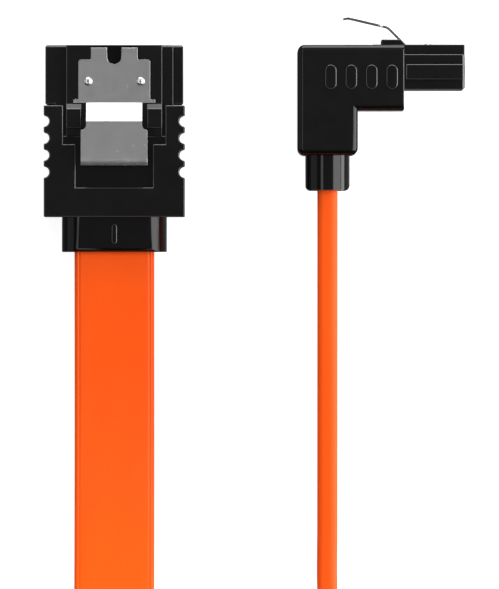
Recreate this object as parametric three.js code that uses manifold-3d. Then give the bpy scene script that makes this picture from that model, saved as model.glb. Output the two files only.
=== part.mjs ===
// Flat serial data cable with a straight plug and a right-angle plug, both with a sprung steel latch.
// Sizes are in millimetres. The cable lies on a table at z = 0, with the straight plug on its back.
//
// Each plug is drawn in a frame of its own: x runs across it, y = 0 is the mating face and y falls
// towards the cable, and z = 0 is the top of the nose on the latch side.

import * as THREE from "three";
import { mergeVertices } from "three/addons/utils/BufferGeometryUtils.js";
import Module from "manifold-3d";

// Fits
const SEAT_GAP = 0.1; // between moulded pieces that seat on each other
const LATCH_GAP = 0.06; // around the latch plate in its pocket
const CONTACT_GAP = 0.1; // around a contact in its groove
const WIRE_GAP = 0.1; // around a wire in the moulding
const CABLE_GAP = 0.1; // around the cable in the mouth of a collar
const PAST = 1; // how far a cutter runs on past the face that it opens

// Nose of a plug
const NOSE_WIDTH = 13.8;
const NOSE_LENGTH = 6.0; // mating face to the grip
const NOSE_THICKNESS = 4.5;
const NOSE_CHAMFER = 0.16;
const PANEL_WIDTH = 9.6; // raised middle that carries the latch
const LEDGE_DROP = 1.0; // top of the panel down to the ledges beside it
const KEY_WIDTH = 1.0; // rib along the keyed side
const KEY_DROP = 2.0;
const KEY_HEIGHT = 1.5;
const SHANK_WIDTH = 11.8; // the part of the insulator inside the grip
const SHANK_LENGTH = 3.1;

// L-shaped slot
const SLOT_WIDTH = 10.6;
const SLOT_HEIGHT = 1.31;
const SLOT_DROP = 1.55;
const SLOT_DEPTH = 5.6;
const FOOT_WIDTH = 1.15;
const FOOT_HEIGHT = 2.4; // top of the slot to the bottom of the foot
const MOUTH_FLARE = 0.25;

// Contacts
const CONTACT_COUNT = 7;
const CONTACT_PITCH = 1.27;
const CONTACT_SHIFT = -0.3; // middle of the row, away from the foot
const CONTACT_WIDTH = 0.6;
const CONTACT_THICKNESS = 0.2;
const CONTACT_RISE = 0.42; // crest of the spring above the floor of the slot
const CONTACT_TAIL = 1.9; // solder tail behind the insulator
const GROOVE_DEPTH = 0.8;
const GROOVE_FRONT = 0.55; // wall in front of the grooves

// Bosses beside the latch
const BOSS_INNER = 3.3; // from the middle
const BOSS_FRONT = 5.9;
const BOSS_LENGTH = 2.4;
const BOSS_HEIGHT = 0.5;
const HEEL_WIDTH = 0.8;
const REAR_DROP = 0.3; // the panel between the two heels, behind the bosses

// Latch, folded from one strip
const SHEET = 0.15;
const LATCH_FRONT = 0.17; // behind the mating face
const LEG_LENGTH = 0.6; // ends of the prongs, bent down into the nose
const PRONG_INNER = 0.725;
const PRONG_OUTER = 2.335;
const SHOULDER_Y = 1.46;
const SHOULDER_ROUND = 0.3;
const PLATE_WIDTH = 7.18;
const PLATE_END = 5.8;
const WING_SPAN = 8.2;
const WING_LENGTH = 0.35;
const NECK_WIDTH = 5.6;
const NECK_END = 8.54;
const NECK_FILLET = 0.5;
const TAB_WIDTH = 6.66;
const RAMP_START = 5.81;
const RAMP_RISE = 1.83; // the ramp climbs at 45 degrees
const TAB_LENGTH = 3.97; // from the top of the ramp to the crest
const TAB_RISE = 0.93;
const LIP_LENGTH = 0.45;
const LIP_FALL = 0.1;
const FOLD_ROUND = 0.2;
const TIGHT_FOLD = 0.09; // where the ramp starts
const DIMPLE_X = 2.62;
const DIMPLE_Y = 3.64;
const DIMPLE_RADIUS = 0.44;
const DIMPLE_HEIGHT = 0.12;
const LATCH_TRAVEL = 0.72; // room under the end of the plate
const NECK_ROOM = 1.15; // length of the pocket behind the plate, under the ramp

// Grip of the straight plug
const GRIP_WIDTH = 14.1;
const GRIP_LENGTH = 11.15;
const GRIP_THICKNESS = 6.5;
const GRIP_WALL = 0.8;
const GRIP_ROOF = 0.7;
const WINDOW_WIDTH = 10.2;
const WINDOW_STEP = 3.88; // length of the wide front part
const WINDOW_NECK = 7.7;
const WINDOW_LENGTH = 8.2;
const SCALLOP_COUNT = 4;
const SCALLOP_PITCH = 1.7;
const SCALLOP_FIRST = 1.57; // front of the grip to the first one
const SCALLOP_RADIUS = 0.56;

// Elbow, the grip of the right-angle plug
const ELBOW_DROP = 0.06; // its top below the top of the nose
const ELBOW_LENGTH = 10.6;
const ELBOW_HEIGHT = 10.98;
const ARM_THICKNESS = 6.5;
const LEG_THICKNESS = 6.0;
const ELBOW_CORNER = 0.7;
const ELBOW_EDGE = 0.55; // rounding of the edges around its flat sides
const PILL_COUNT = 4;
const PILL_PITCH = 2.03;
const PILL_FIRST = 1.2;
const PILL_DROP = 3.2;
const PILL_WIDTH = 1.14;
const PILL_LENGTH = 2.43;
const PILL_RISE = 0.15;

// Collar that the cable leaves through
const COLLAR_WIDTH = 10.5;
const COLLAR_THICKNESS = 4.4;
const COLLAR_LENGTH = 3.5;
const COLLAR_CORNER = 1.9;
const COLLAR_END_ROUND = 0.5;
const MOUTH_DEPTH = 0.8;
const MARK_WIDTH = 0.57;
const MARK_LENGTH = 2.0;
const MARK_RISE = 0.12;

// Wires inside the plugs: the outer two and the middle one are bare drains
const DRAIN_PLACES = [0, 3, 6];
const CORE_DIAMETER = 0.8;
const DRAIN_DIAMETER = 0.4;
const WIRE_BEND = 2.0;
const WIRE_OVERLAP = 1.5; // length that lies on the solder tail

// Cable
const CABLE_WIDTH = 8.0;
const CABLE_THICKNESS = 2.0;
const CABLE_EDGE = 0.6;
const CABLE_SPACING = 21.3; // between the two runs
const STRAIGHT_FRONT_Y = 54.4; // mating face of the straight plug
const ANGLED_TOP_Y = 54.35; // latch side of the right-angle plug

// Coil, wound on edge
const COIL_CENTRE_Y = -54.5;
const COIL_INNER = 36.0; // middle of the innermost turn
const COIL_PITCH = 3.1; // from one turn to the next
const COIL_TURNS = 1.158;
const TIE_ANGLE = 28; // degrees from +x
const TIE_WIDTH = 6.0;
const TIE_STRAP = 0.3;
const TIE_GAP = 0.1;
const TIE_SIDE_GAP = 0.25;
const COIL_FLOOR = TIE_STRAP + TIE_GAP; // the coil rests on its tie

const ARC_STEPS = 3;
const ROUND_SIDES = 8;
const COIL_FACETS = 54;

// The route of the cable, each point as x, y, z and the roll of the flat section in degrees:
// 0 lies flat and 90 stands on edge. It rises over the coil, then rolls on edge inside it.
const STRAIGHT_ROUTE = [
  [-10.65, 34.45, 3.25, 0],
  [-10.65, 30.0, 3.1, 0],
  [-10.65, 25.0, 2.7, 0],
  [-10.65, 20.0, 2.4, 0],
  [-10.65, 14.0, 2.5, 0],
  [-10.65, 8.0, 3.3, 0],
  [-10.65, 2.0, 4.9, 0],
  [-10.65, -4.0, 7.0, 0],
  [-10.65, -9.0, 8.6, 0],
  [-10.65, -14.0, 9.55, 0],
  [-10.65, -18.5, 9.75, 0],
  [-10.65, -23.0, 9.6, 0],
  [-10.65, -29.0, 9.0, 7],
  [-10.65, -36.0, 7.9, 20],
  [-10.65, -43.0, 6.7, 36],
  [-10.65, -49.0, 5.8, 51],
  [-10.65, -54.5, 5.2, 64],
  [-9.2, -62.5, 4.7, 79],
  [-5.2, -69.5, 4.45, 88],
  [1.0, -74.7, 4.4, 90],
  [8.6, -77.4, 4.4, 90],
  [16.7, -77.4, 4.4, 90],
  [24.3, -74.7, 4.4, 90],
  [28.5, -71.5, 4.4, 90],
];
const ANGLED_ROUTE = [
  [10.65, 40.5, 7.2, 90],
  [10.65, 36.0, 7.15, 90],
  [10.65, 30.0, 6.85, 90],
  [10.65, 24.0, 6.4, 90],
  [10.65, 18.0, 5.85, 90],
  [10.65, 12.0, 5.3, 90],
  [10.65, 6.0, 4.85, 90],
  [10.65, 0.0, 4.55, 90],
  [11.0, -5.4, 4.42, 90],
  [12.1, -9.4, 4.4, 90],
  [13.9, -13.2, 4.4, 90],
  [15.3, -15.3, 4.4, 90],
];

// Derived places
const INSULATOR_LENGTH = NOSE_LENGTH + SHANK_LENGTH;
const SLOT_FLOOR = -(SLOT_DROP + SLOT_HEIGHT);
const GROOVE_FLOOR = SLOT_FLOOR - GROOVE_DEPTH;
const TAIL_Z = GROOVE_FLOOR + CONTACT_GAP + CONTACT_THICKNESS / 2;
const WIRE_Z = TAIL_Z + CONTACT_THICKNESS / 2 + WIRE_GAP + CORE_DIAMETER / 2;
const TAIL_END = INSULATOR_LENGTH + CONTACT_TAIL;
const GRIP_FRONT = NOSE_LENGTH + SEAT_GAP / 2;
const GRIP_END = GRIP_FRONT + GRIP_LENGTH;
const GRIP_TOP = BOSS_HEIGHT;
const GRIP_MIDDLE = GRIP_TOP - GRIP_THICKNESS / 2;
const DECK_Z = GRIP_TOP - GRIP_ROOF - SEAT_GAP;
const ELBOW_FRONT = GRIP_FRONT;
const ELBOW_END = ELBOW_FRONT + ELBOW_LENGTH;
const LEG_MIDDLE = ELBOW_END - LEG_THICKNESS / 2;
const ELBOW_BOTTOM = -(ELBOW_DROP + ELBOW_HEIGHT);
const STRAIGHT_MOUTH = GRIP_END + COLLAR_LENGTH; // end of the straight plug's collar
const ANGLED_MOUTH = ELBOW_BOTTOM - COLLAR_LENGTH;
const STRAIGHT_X = -CABLE_SPACING / 2;
const ANGLED_X = CABLE_SPACING / 2;
const STRAIGHT_Z = GRIP_THICKNESS - GRIP_TOP;
const ANGLED_Z = GRIP_WIDTH / 2 + PILL_RISE;
const COIL_OUTER = COIL_INNER + COIL_PITCH * COIL_TURNS;

const wasm = await Module();
wasm.setup();

const blackShell = new THREE.MeshStandardMaterial({ color: 0x1b1b1c, roughness: 0.5, metalness: 0 });
const blackGloss = new THREE.MeshStandardMaterial({ color: 0x151516, roughness: 0.25, metalness: 0 });
const steel = new THREE.MeshStandardMaterial({ color: 0x9b9b9b, roughness: 0.3, metalness: 1 });
const gilt = new THREE.MeshStandardMaterial({ color: 0xd0a850, roughness: 0.3, metalness: 1 });
const orange = new THREE.MeshStandardMaterial({ color: 0xff5a14, roughness: 0.5, metalness: 0 });
const coreWhite = new THREE.MeshStandardMaterial({ color: 0xe8e6e0, roughness: 0.6, metalness: 0 });
const tinned = new THREE.MeshStandardMaterial({ color: 0xb9bcc0, roughness: 0.35, metalness: 1 });
const strap = new THREE.MeshStandardMaterial({ color: 0x202020, roughness: 0.9, metalness: 0 });

// Turns a closed geometry into a solid that can be cut and joined.
function solid(geometry) {
  const bare = geometry.clone();
  bare.deleteAttribute("normal");
  bare.deleteAttribute("uv");
  const merged = mergeVertices(bare, 1e-5);
  const vertProperties = new Float32Array(merged.attributes.position.array);
  const triVerts = new Uint32Array(merged.index.array);
  return new wasm.Manifold(new wasm.Mesh({ numProp: 3, vertProperties, triVerts }));
}

function geometryOf(body) {
  const mesh = body.getMesh();
  const geometry = new THREE.BufferGeometry();
  geometry.setAttribute("position", new THREE.BufferAttribute(mesh.vertProperties, 3));
  geometry.setIndex(new THREE.BufferAttribute(mesh.triVerts, 1));
  return geometry;
}

function joined(bodies) {
  return bodies.reduce((sum, body) => sum.add(body));
}

function block(x0, x1, y0, y1, z0, z1) {
  const geometry = new THREE.BoxGeometry(x1 - x0, y1 - y0, z1 - z0);
  geometry.translate((x0 + x1) / 2, (y0 + y1) / 2, (z0 + z1) / 2);
  return solid(geometry);
}

// A closed outline of corners [x, y, radius], with an arc at each corner that has a radius.
function outline(corners) {
  const shape = new THREE.Shape();
  corners.forEach(([x, y, radius], i) => {
    const corner = new THREE.Vector2(x, y);
    const [fromX, fromY] = corners[(i + corners.length - 1) % corners.length];
    const [toX, toY] = corners[(i + 1) % corners.length];
    const back = new THREE.Vector2(fromX, fromY).sub(corner).normalize();
    const on = new THREE.Vector2(toX, toY).sub(corner).normalize();
    if (!radius) {
      if (i === 0) shape.moveTo(x, y);
      else shape.lineTo(x, y);
      return;
    }
    const half = Math.acos(THREE.MathUtils.clamp(back.dot(on), -1, 1)) / 2;
    const reach = radius / Math.tan(half);
    const start = corner.clone().addScaledVector(back, reach);
    const end = corner.clone().addScaledVector(on, reach);
    const middle = back.clone().add(on).normalize();
    const centre = corner.clone().addScaledVector(middle, radius / Math.sin(half));
    if (i === 0) shape.moveTo(start.x, start.y);
    else shape.lineTo(start.x, start.y);
    const a0 = Math.atan2(start.y - centre.y, start.x - centre.x);
    const a1 = Math.atan2(end.y - centre.y, end.x - centre.x);
    shape.absarc(centre.x, centre.y, radius, a0, a1, back.cross(on) > 0);
  });
  shape.closePath();
  return shape;
}

// An outline that is given for x >= 0 and mirrored to the other side.
function mirroredOutline(half) {
  const other = half.map(([x, y, radius]) => [-x, y, radius]).reverse();
  return outline([...half, ...other]);
}

function rectangle(x0, x1, y0, y1, radius = 0) {
  return outline([[x0, y0, radius], [x1, y0, radius], [x1, y1, radius], [x0, y1, radius]]);
}

// The outline of a strip of sheet that follows a path.
function strip(path, thickness) {
  const points = path.getPoints(ARC_STEPS);
  const left = [];
  const right = [];
  points.forEach((point, i) => {
    const before = points[Math.max(i - 1, 0)];
    const after = points[Math.min(i + 1, points.length - 1)];
    const into = point.clone().sub(before).normalize();
    const out = after.clone().sub(point).normalize();
    const along = into.clone().add(out).normalize();
    const side = new THREE.Vector2(-along.y, along.x);
    const bend = Math.max(along.dot(out), along.dot(into));
    const reach = thickness / 2 / bend;
    left.push(point.clone().addScaledVector(side, reach));
    right.push(point.clone().addScaledVector(side, -reach));
  });
  return new THREE.Shape([...left, ...right.reverse()]);
}

function extruded(shape, depth, options = {}) {
  const settings = { depth, bevelEnabled: false, curveSegments: ARC_STEPS, ...options };
  return new THREE.ExtrudeGeometry(shape, settings);
}

// An (x, z) outline run along y from the front towards the cable.
function alongY(shape, front, end, options) {
  const geometry = extruded(shape, end - front, options);
  geometry.rotateX(Math.PI / 2);
  geometry.translate(0, -front, 0);
  return solid(geometry);
}

// A (y, z) outline run along x between two places.
function alongX(shape, x0, x1, options) {
  const geometry = extruded(shape, x1 - x0, options);
  const turn = new THREE.Matrix4().makeBasis(
    new THREE.Vector3(0, 1, 0), new THREE.Vector3(0, 0, 1), new THREE.Vector3(1, 0, 0));
  geometry.applyMatrix4(turn);
  geometry.translate(x0, 0, 0);
  return solid(geometry);
}

// An (x, y) outline raised between two heights.
function alongZ(shape, z0, z1, options) {
  const geometry = extruded(shape, z1 - z0, options);
  geometry.translate(0, 0, z0);
  return solid(geometry);
}

// Nose section below the panel, with the key rib on one side.
function noseSection() {
  const half = NOSE_WIDTH / 2;
  const keyed = half - KEY_WIDTH;
  return outline([
    [-half, -NOSE_THICKNESS],
    [keyed, -NOSE_THICKNESS],
    [keyed, -KEY_DROP - KEY_HEIGHT],
    [half, -KEY_DROP - KEY_HEIGHT],
    [half, -KEY_DROP],
    [keyed, -KEY_DROP],
    [keyed, -LEDGE_DROP],
    [-half, -LEDGE_DROP],
  ]);
}

function slotSection() {
  const half = SLOT_WIDTH / 2;
  return outline([
    [-half, SLOT_FLOOR],
    [half - FOOT_WIDTH, SLOT_FLOOR],
    [half - FOOT_WIDTH, -SLOT_DROP - FOOT_HEIGHT],
    [half, -SLOT_DROP - FOOT_HEIGHT],
    [half, -SLOT_DROP],
    [-half, -SLOT_DROP],
  ]);
}

function slotCut() {
  const slot = alongY(slotSection(), -PAST, SLOT_DEPTH);
  const flare = { bevelEnabled: true, bevelThickness: MOUTH_FLARE, bevelSize: MOUTH_FLARE, bevelSegments: 1 };
  return slot.add(alongY(slotSection(), -PAST, 0, flare));
}

function contactX(i) {
  return CONTACT_SHIFT + (i - (CONTACT_COUNT - 1) / 2) * CONTACT_PITCH;
}

function contactPlaces() {
  return Array.from({ length: CONTACT_COUNT }, (_, i) => contactX(i));
}

function grooves() {
  const half = CONTACT_WIDTH / 2 + CONTACT_GAP;
  const end = -INSULATOR_LENGTH - PAST;
  return joined(contactPlaces().map((x) =>
    block(x - half, x + half, end, -GROOVE_FRONT, GROOVE_FLOOR, SLOT_FLOOR + GROOVE_DEPTH / 8)));
}

// The latch seen from above. With room it is the pocket around the latch.
function latchPlan(room = 0) {
  const front = room > 0 ? -LATCH_FRONT + room : 0;
  const plate = PLATE_WIDTH / 2 + room;
  const wing = WING_SPAN / 2 + room;
  const neck = NECK_WIDTH / 2 + room;
  const wingFront = -PLATE_END + WING_LENGTH + room;
  const shoulder = [
    [PRONG_OUTER + room, front],
    [PRONG_OUTER + room, -SHOULDER_Y + room],
    [plate, -SHOULDER_Y + room, SHOULDER_ROUND],
    [plate, wingFront],
    [wing, wingFront],
    [wing, -PLATE_END - room],
    [neck, -PLATE_END - room],
  ];
  if (room > 0) return mirroredOutline([...shoulder, [neck, -PLATE_END - NECK_ROOM]]);
  return mirroredOutline([
    ...shoulder,
    [neck, -NECK_END, NECK_FILLET],
    [TAB_WIDTH / 2, -NECK_END],
    [TAB_WIDTH / 2, -NECK_END - TAB_LENGTH * 2],
  ]);
}

// The notch between the prongs, open at the front.
function prongNotch() {
  const shape = new THREE.Shape();
  shape.moveTo(PRONG_INNER, PAST);
  shape.lineTo(-PRONG_INNER, PAST);
  shape.lineTo(-PRONG_INNER, -SHOULDER_Y + PRONG_INNER / 3);
  shape.absarc(0, -SHOULDER_Y + PRONG_INNER / 3, PRONG_INNER, Math.PI, 2 * Math.PI, false);
  shape.closePath();
  return alongZ(shape, -LEG_LENGTH * 2, PAST, { curveSegments: ARC_STEPS + 1 });
}

// The folded strip seen from the side: leg, plate, ramp, thumb tab and lip.
function latchFold() {
  const z = -SHEET / 2;
  const front = -LATCH_FRONT - SHEET / 2;
  const rampTop = [-RAMP_START - RAMP_RISE, z + RAMP_RISE];
  const slope = TAB_RISE / TAB_LENGTH;
  const crest = [rampTop[0] - TAB_LENGTH, rampTop[1] + TAB_RISE];
  const r = FOLD_ROUND;
  const t = TIGHT_FOLD;
  const path = new THREE.Path();
  path.moveTo(front, z - LEG_LENGTH);
  path.lineTo(front, z - r);
  path.quadraticCurveTo(front, z, front - r, z);
  path.lineTo(-RAMP_START + t, z);
  path.quadraticCurveTo(-RAMP_START, z, -RAMP_START - t * Math.SQRT1_2, z + t * Math.SQRT1_2);
  path.lineTo(rampTop[0] + r, rampTop[1] - r);
  path.quadraticCurveTo(rampTop[0], rampTop[1], rampTop[0] - r, rampTop[1] + r * slope);
  path.lineTo(crest[0] + r, crest[1] - r * slope);
  path.quadraticCurveTo(crest[0], crest[1], crest[0] - r, crest[1] - r * (LIP_FALL / LIP_LENGTH));
  path.lineTo(crest[0] - LIP_LENGTH, crest[1] - LIP_FALL);
  return strip(path, SHEET);
}

// A shallow round bump that the socket catches.
function dimple(x) {
  const ball = (DIMPLE_RADIUS ** 2 + DIMPLE_HEIGHT ** 2) / (2 * DIMPLE_HEIGHT);
  const sweep = Math.asin(DIMPLE_RADIUS / ball);
  const steps = ARC_STEPS + 1;
  const profile = [new THREE.Vector2(0, -SHEET / 2), new THREE.Vector2(DIMPLE_RADIUS, -SHEET / 2)];
  for (let i = steps; i >= 0; i--) {
    const a = (sweep * i) / steps;
    profile.push(new THREE.Vector2(ball * Math.sin(a), ball * Math.cos(a) - ball + DIMPLE_HEIGHT));
  }
  const geometry = new THREE.LatheGeometry(profile, 16);
  geometry.rotateX(Math.PI / 2);
  geometry.translate(x, -DIMPLE_Y, 0);
  return solid(geometry);
}

function latch() {
  const sheet = alongX(latchFold(), -WING_SPAN, WING_SPAN);
  const plan = alongZ(latchPlan(), -LEG_LENGTH * 2, RAMP_RISE * 3);
  return joined([sheet.intersect(plan).subtract(prongNotch()), dimple(-DIMPLE_X), dimple(DIMPLE_X)]);
}

// The pocket falls away under the latch, so that the plate has room to dip when the tab is pressed.
function latchPocket() {
  const shallow = -SHEET - LATCH_GAP;
  const deep = shallow - LATCH_TRAVEL;
  const behind = -PLATE_END - NECK_ROOM - PAST;
  const fall = outline([[0, shallow], [0, PAST], [behind, PAST], [behind, deep], [-PLATE_END, deep]]);
  const plan = alongZ(latchPlan(LATCH_GAP), -NOSE_THICKNESS, 2 * PAST);
  const well = alongX(fall, -NOSE_WIDTH, NOSE_WIDTH).intersect(plan);
  const legs = [-1, 1].map((side) => {
    const x = (side * (PRONG_INNER + PRONG_OUTER)) / 2;
    const half = (PRONG_OUTER - PRONG_INNER) / 2 + LATCH_GAP;
    const front = -LATCH_FRONT + LATCH_GAP;
    const deepest = -SHEET / 2 - LEG_LENGTH - LATCH_GAP;
    return block(x - half, x + half, front - SHEET - 3 * LATCH_GAP, front, deepest, PAST);
  });
  return joined([well, ...legs]);
}

// The two bosses have a sloped front.
function bosses() {
  const outer = PANEL_WIDTH / 2;
  const end = BOSS_FRONT + BOSS_LENGTH;
  const root = -LEDGE_DROP / 2;
  const side = outline([
    [-BOSS_FRONT, root],
    [-BOSS_FRONT, 0],
    [-BOSS_FRONT - BOSS_HEIGHT, BOSS_HEIGHT],
    [-end, BOSS_HEIGHT],
    [-end, root],
  ]);
  return alongX(side, BOSS_INNER, outer).add(alongX(side, -outer, -BOSS_INNER));
}

// Behind the bosses the panel drops between two heels.
function rearDrop() {
  const inner = PANEL_WIDTH / 2 - HEEL_WIDTH;
  return block(-inner, inner, -INSULATOR_LENGTH - PAST, -BOSS_FRONT - BOSS_LENGTH, -REAR_DROP, PAST);
}

function insulator() {
  const c = NOSE_CHAMFER;
  const bevel = { bevelEnabled: true, bevelThickness: c, bevelSize: c, bevelOffset: -c, bevelSegments: 1 };
  const nose = alongY(noseSection(), c, NOSE_LENGTH - c, bevel);
  const half = SHANK_WIDTH / 2;
  const panel = block(-PANEL_WIDTH / 2, PANEL_WIDTH / 2, -INSULATOR_LENGTH, 0, -LEDGE_DROP * 1.5, 0);
  const shank = block(-half, half, -INSULATOR_LENGTH, -NOSE_LENGTH / 2, -NOSE_THICKNESS, -LEDGE_DROP);
  const cuts = [slotCut(), grooves(), latchPocket(), rearDrop()];
  return joined([nose, panel, shank, bosses()]).subtract(joined(cuts));
}

// A contact: solder tail, flat root in the groove, and a spring that rises to a crest near the mouth.
function contact(x) {
  const crest = SLOT_FLOOR + CONTACT_RISE - CONTACT_THICKNESS / 2;
  const tip = TAIL_Z + GROOVE_DEPTH / 4;
  const path = new THREE.Path();
  path.moveTo(-TAIL_END, TAIL_Z);
  path.lineTo(-SLOT_DEPTH, TAIL_Z);
  path.quadraticCurveTo(-SLOT_DEPTH * 0.85, TAIL_Z, -SLOT_DEPTH * 0.75, TAIL_Z + GROOVE_DEPTH / 5);
  path.lineTo(-SLOT_DEPTH * 0.42, crest - 0.12);
  path.quadraticCurveTo(-SLOT_DEPTH * 0.35, crest + 0.12, -SLOT_DEPTH * 0.27, crest - 0.12);
  path.lineTo(-GROOVE_FRONT - CONTACT_GAP * 2, tip);
  return alongX(strip(path, CONTACT_THICKNESS), x - CONTACT_WIDTH / 2, x + CONTACT_WIDTH / 2);
}

// The opening in the front of a grip that takes the insulator's shank.
function shankSeat() {
  const half = SHANK_WIDTH / 2 + SEAT_GAP;
  const end = -INSULATOR_LENGTH - SEAT_GAP;
  return block(-half, half, end, -NOSE_LENGTH / 2, -NOSE_THICKNESS - SEAT_GAP, -LEDGE_DROP + SEAT_GAP);
}

// The window over the latch, as deep as the roof of the grip.
function grip() {
  const half = GRIP_WIDTH / 2;
  const bottom = GRIP_TOP - GRIP_THICKNESS;
  const shell = block(-half, half, -GRIP_END, -GRIP_FRONT, bottom, GRIP_TOP);
  const windowPlan = mirroredOutline([
    [WINDOW_WIDTH / 2, 0],
    [WINDOW_WIDTH / 2, -GRIP_FRONT - WINDOW_STEP],
    [WINDOW_NECK / 2, -GRIP_FRONT - WINDOW_STEP],
    [WINDOW_NECK / 2, -GRIP_FRONT - WINDOW_LENGTH],
  ]);
  const w = WINDOW_WIDTH / 2;
  const over = GRIP_TOP + PAST;
  const notch = block(-w, w, -INSULATOR_LENGTH - SEAT_GAP, 0, -LEDGE_DROP, over);
  const window = alongZ(windowPlan, DECK_Z, over);
  const cuts = [window, notch, shankSeat(), gripCore(SEAT_GAP), gripCollar(SEAT_GAP)];
  for (let i = 0; i < SCALLOP_COUNT; i++) {
    const y = -GRIP_FRONT - SCALLOP_FIRST - i * SCALLOP_PITCH;
    for (const x of [-half, half]) {
      const high = GRIP_THICKNESS + 2 * PAST;
      const round = new THREE.CylinderGeometry(SCALLOP_RADIUS, SCALLOP_RADIUS, high, 2 * ROUND_SIDES);
      round.rotateX(Math.PI / 2);
      round.translate(x, y, GRIP_MIDDLE);
      cuts.push(solid(round));
    }
  }
  return shell.subtract(joined(cuts));
}

// The inner moulding behind the insulator. With room it is the space that it fills.
function gripCore(room = 0) {
  const half = SHANK_WIDTH / 2 + room;
  const front = -INSULATOR_LENGTH - SEAT_GAP + room;
  const back = -GRIP_END + GRIP_WALL + SEAT_GAP - room;
  const floor = GRIP_TOP - GRIP_THICKNESS + GRIP_WALL + SEAT_GAP - room;
  return block(-half, half, back, front, floor, DECK_Z + room);
}

// A collar along its own z, with its end rounded on the broad sides. Its mouth is at z = 0.
function collar(length, room = 0) {
  const half = COLLAR_WIDTH / 2 + room;
  const deep = COLLAR_THICKNESS / 2 + room;
  const section = rectangle(-half, half, -deep, deep, COLLAR_CORNER);
  const body = alongZ(section, 0, length, { curveSegments: 2 * ARC_STEPS });
  if (room > 0) return body;
  const r = COLLAR_END_ROUND;
  const side = outline([[-deep, 0, r], [deep, 0, r], [deep, length + PAST], [-deep, length + PAST]]);
  return body.intersect(alongX(side, -half - PAST, half + PAST));
}

// A slot for the cable's end, where it enters the collar.
function cableMouth() {
  const half = CABLE_WIDTH / 2 + CABLE_GAP;
  const deep = CABLE_THICKNESS / 2 + CABLE_GAP;
  return alongZ(rectangle(-half, half, -deep, deep, CABLE_EDGE), -PAST, MOUTH_DEPTH);
}

// Turns a collar that was drawn along z so that its mouth faces the cable at the back of the straight plug.
function gripCollar(room = 0) {
  const seat = STRAIGHT_MOUTH - GRIP_END + GRIP_WALL + 2 * SEAT_GAP;
  return collar(seat, room).rotate([-90, 0, 0]).translate([0, -STRAIGHT_MOUTH, GRIP_MIDDLE]);
}

function mark() {
  const w = MARK_WIDTH / 2;
  const h = MARK_LENGTH / 2;
  const pill = rectangle(-w, w, -h, h, w / 1.005);
  const top = GRIP_MIDDLE + COLLAR_THICKNESS / 2;
  return alongZ(pill, top - MARK_RISE, top + MARK_RISE).translate([0, -GRIP_END - COLLAR_LENGTH * 0.51, 0]);
}

// The side walls of the space for the row of wires.
function wireSides() {
  const reach = ((CONTACT_COUNT - 1) / 2) * CONTACT_PITCH + CORE_DIAMETER / 2 + WIRE_GAP;
  return [CONTACT_SHIFT - reach, CONTACT_SHIFT + reach];
}

// The bay where wires meet solder tails.
function solderBay() {
  const [left, right] = wireSides();
  return block(left, right, -TAIL_END - WIRE_GAP, -INSULATOR_LENGTH,
    TAIL_Z - CONTACT_THICKNESS / 2 - WIRE_GAP, WIRE_Z + CORE_DIAMETER / 2 + WIRE_GAP);
}

// The space that a row of wires takes in the moulding, along their path seen from the side.
function wireDuct(path) {
  return alongX(strip(path, CORE_DIAMETER + 2 * WIRE_GAP), ...wireSides());
}

function wireDiameter(i) {
  return DRAIN_PLACES.includes(i) ? DRAIN_DIAMETER : CORE_DIAMETER;
}

// The path of the wires as (y, z), from the solder tails to the mouth of the collar.
function straightWirePath(room = 0) {
  const path = new THREE.Path();
  path.moveTo(-TAIL_END + WIRE_OVERLAP + room, WIRE_Z);
  path.lineTo(-STRAIGHT_MOUTH + MOUTH_DEPTH + WIRE_GAP - 2 * room, WIRE_Z);
  return path;
}

function angledWirePath(room = 0) {
  const path = new THREE.Path();
  path.moveTo(-TAIL_END + WIRE_OVERLAP + room, WIRE_Z);
  path.lineTo(-LEG_MIDDLE + WIRE_BEND, WIRE_Z);
  path.quadraticCurveTo(-LEG_MIDDLE, WIRE_Z, -LEG_MIDDLE, WIRE_Z - WIRE_BEND);
  path.lineTo(-LEG_MIDDLE, ANGLED_MOUTH + MOUTH_DEPTH + WIRE_GAP - 2 * room);
  return path;
}

// A round wire at place x along such a path, with a ring of corners at each of its points.
function wire(i, path) {
  const x = contactX(i);
  const points = path.getPoints(ARC_STEPS).map((point) => new THREE.Vector3(x, point.x, point.y));
  const line = new THREE.CurvePath();
  for (let k = 1; k < points.length; k++) line.add(new THREE.LineCurve3(points[k - 1], points[k]));
  const section = new THREE.Shape();
  section.absarc(0, 0, wireDiameter(i) / 2, 0, 2 * Math.PI, false);
  const steps = points.length > 2 ? 2 * points.length : 1;
  const settings = { extrudePath: line, steps, curveSegments: ROUND_SIDES / 2 };
  return solid(new THREE.ExtrudeGeometry(section, settings));
}

function straightMould() {
  const duct = wireDuct(straightWirePath(WIRE_GAP));
  const mouth = cableMouth().rotate([-90, 0, 0]).translate([0, -STRAIGHT_MOUTH, GRIP_MIDDLE]);
  return joined([gripCore(), gripCollar(), mark()]).subtract(joined([solderBay(), mouth, duct]));
}

// The elbow seen from the side, with round outer corners. Its front runs on past the cut.
function elbowOutline() {
  const r = ELBOW_CORNER;
  const past = -ELBOW_FRONT + PAST;
  const top = -ELBOW_DROP;
  return outline([
    [past, top],
    [-ELBOW_END, top, r],
    [-ELBOW_END, ELBOW_BOTTOM, r],
    [-ELBOW_END + LEG_THICKNESS, ELBOW_BOTTOM, r],
    [-ELBOW_END + LEG_THICKNESS, top - ARM_THICKNESS],
    [past, top - ARM_THICKNESS],
  ]);
}

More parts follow.
